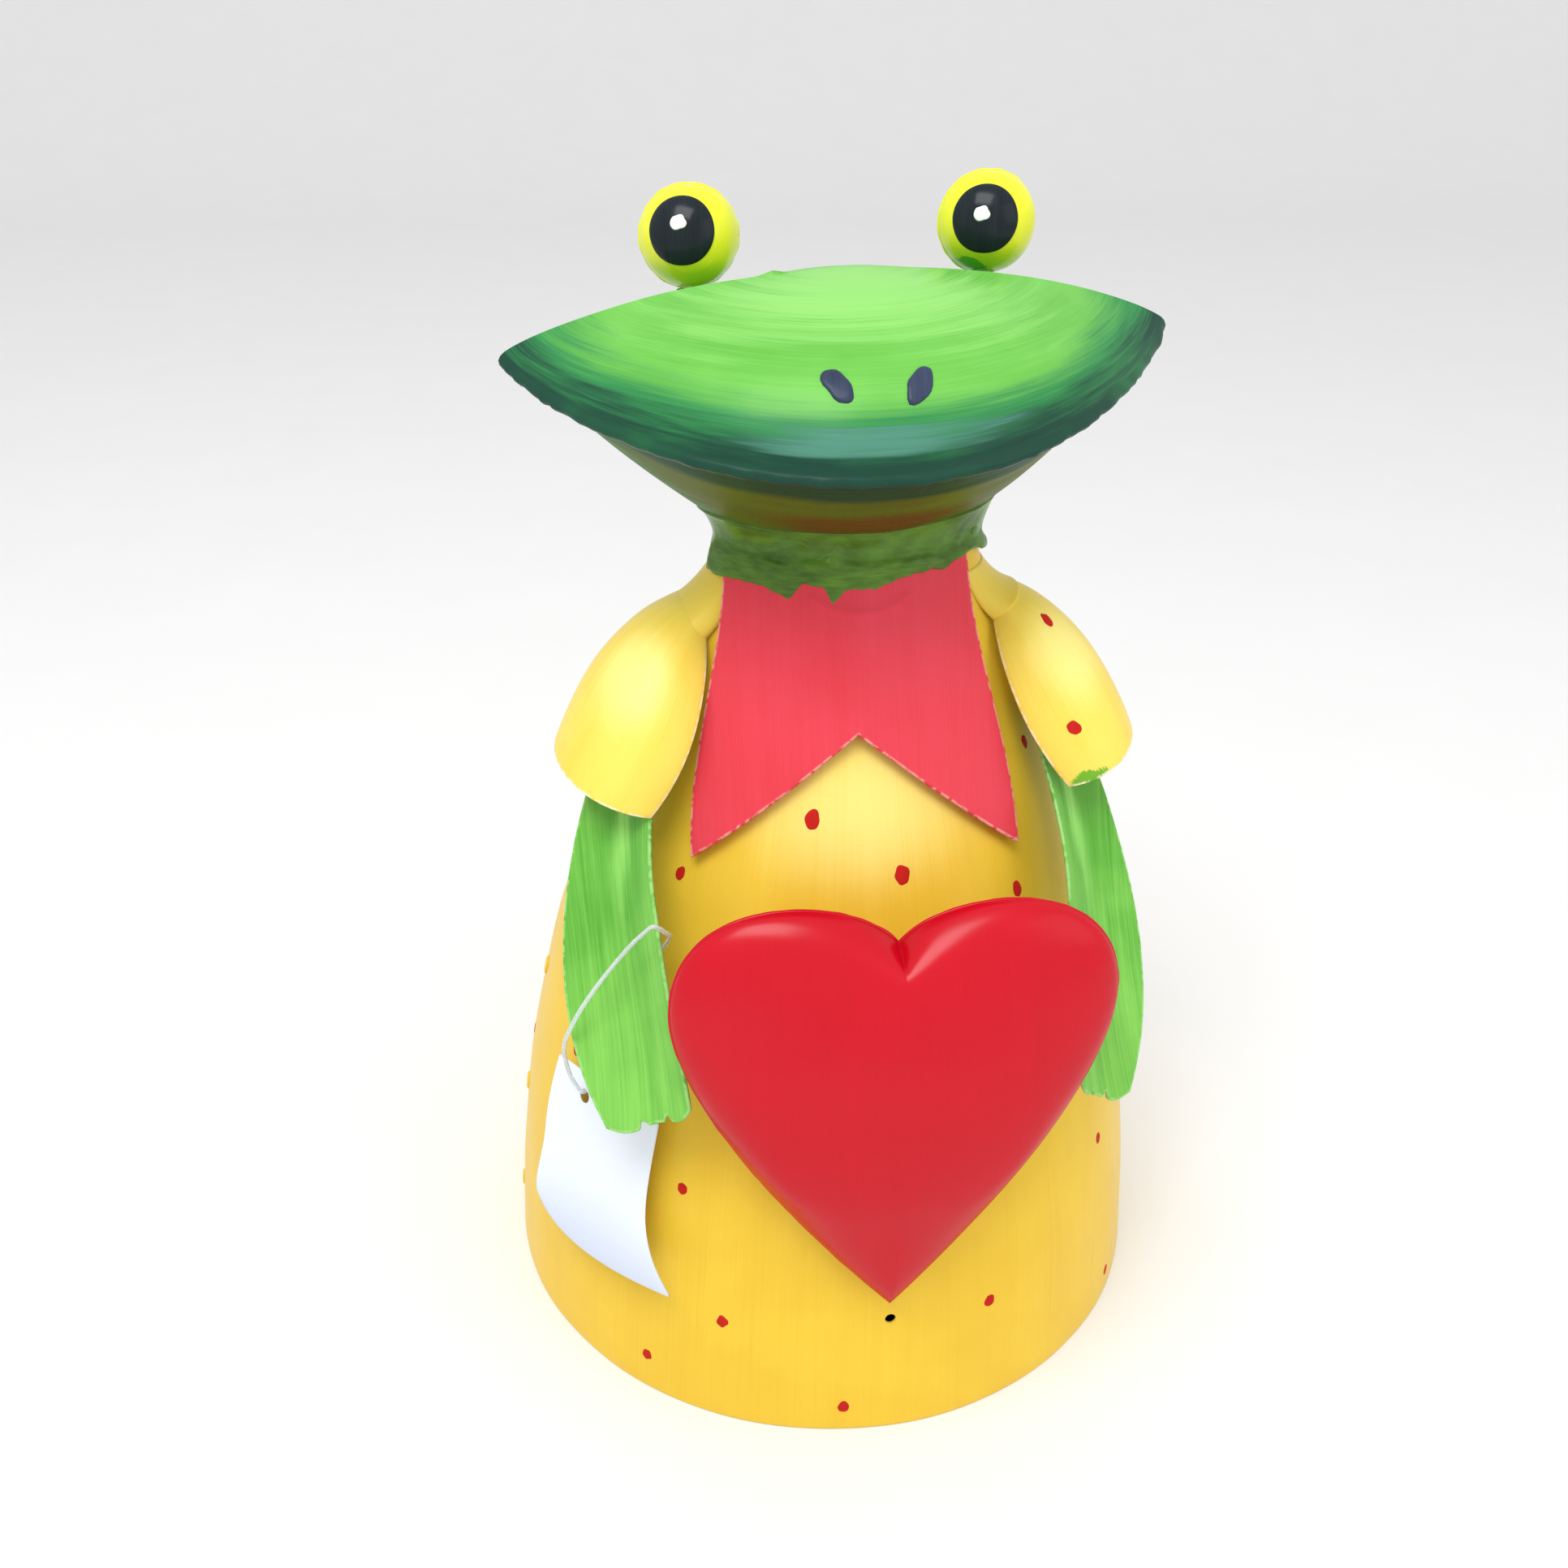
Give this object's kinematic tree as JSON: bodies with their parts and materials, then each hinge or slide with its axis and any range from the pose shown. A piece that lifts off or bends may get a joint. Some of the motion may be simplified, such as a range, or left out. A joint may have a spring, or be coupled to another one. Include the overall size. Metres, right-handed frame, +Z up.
{
  "type": "painted sheet-metal frog figure",
  "caption": "Free-standing painted sheet-metal frog with a bell-shaped open body, wide mouth, ball eyes on short springs, cap sleeves and curved arms holding a puffed heart",
  "frame": {"origin": "middle of the footprint, on the surface the figure stands on", "axes": "+X to the viewer's right, the frog faces -Y, +Z up"},
  "size_m": [0.2, 0.2128, 0.3196],
  "materials": {
    "yellow_paint": "glossy hand-brushed golden yellow paint with red dots",
    "weld_green_paint": "lumpy weld brushed over in green",
    "head_green_paint": "brushed light green fading to dark teal-green at the edge",
    "throat_green_paint": "brushed green with an olive-brown middle",
    "spring_green_paint": "dark green paint on wire",
    "eye_front_paint": "glossy lemon yellow with a slate-black pupil and a white dot",
    "eye_back_paint": "glossy lemon yellow",
    "sleeve_yellow_paint": "glossy hand-brushed golden yellow paint",
    "arm_green_paint": "streaky brushed green",
    "heart_red_paint": "glossy crimson paint",
    "scarf_red_paint": "satin red paint",
    "tag_card": "smooth white coated card",
    "clear_nylon": "clear nylon filament"
  },
  "bodies": {
    "figure": {"body_front_shell": "yellow_paint", "body_back_shell": "yellow_paint", "neck_weld_band": "weld_green_paint", "head_upper_shell": "head_green_paint", "head_throat_shell": "throat_green_paint", "sleeve_left": "sleeve_yellow_paint", "sleeve_right": "sleeve_yellow_paint", "arm_left": "arm_green_paint", "arm_right": "arm_green_paint", "heart_front_shell": "heart_red_paint", "heart_back_shell": "heart_red_paint", "scarf": "scarf_red_paint"},
    "eye_left_coil": {"eye_left_spring": "spring_green_paint"},
    "eye_left_ball": {"eye_left_front_half": "eye_front_paint", "eye_left_back_half": "eye_back_paint"},
    "eye_right_coil": {"eye_right_spring": "spring_green_paint"},
    "eye_right_ball": {"eye_right_front_half": "eye_front_paint", "eye_right_back_half": "eye_back_paint"},
    "tag": {"hang_tag": "tag_card", "tag_loop": "clear_nylon"}
  },
  "joints": [
    {"name": "eye_left_sway", "type": "hinge", "parent": "figure", "child": "eye_left_coil", "pos_m": [-0.0374, 0.02937, 0.2865], "axis": [0, 1, 0], "range_deg": [-10, 10], "stiffness_Nm_per_rad": 0.06, "deforming": ["eye_left_spring"]},
    {"name": "eye_left_nod", "type": "hinge", "parent": "eye_left_coil", "child": "eye_left_ball", "pos_m": [-0.0374, 0.02937, 0.2903], "axis": [1, 0, 0], "range_deg": [-8, 8], "stiffness_Nm_per_rad": 0.06, "deforming": ["eye_left_spring"]},
    {"name": "eye_right_sway", "type": "hinge", "parent": "figure", "child": "eye_right_coil", "pos_m": [0.0406, 0.02937, 0.2888], "axis": [0, 1, 0], "range_deg": [-10, 10], "stiffness_Nm_per_rad": 0.06, "deforming": ["eye_right_spring"]},
    {"name": "eye_right_nod", "type": "hinge", "parent": "eye_right_coil", "child": "eye_right_ball", "pos_m": [0.0406, 0.02937, 0.2934], "axis": [1, 0, 0], "range_deg": [-8, 8], "stiffness_Nm_per_rad": 0.06, "deforming": ["eye_right_spring"]},
    {"name": "tag_swing", "type": "hinge", "parent": "figure", "child": "tag", "pos_m": [-0.079, -0.05963, 0.118], "axis": [-0.7583, -0.6143, 0.2181], "range_deg": [-12, 2], "deforming": ["tag_loop"]}
  ]
}
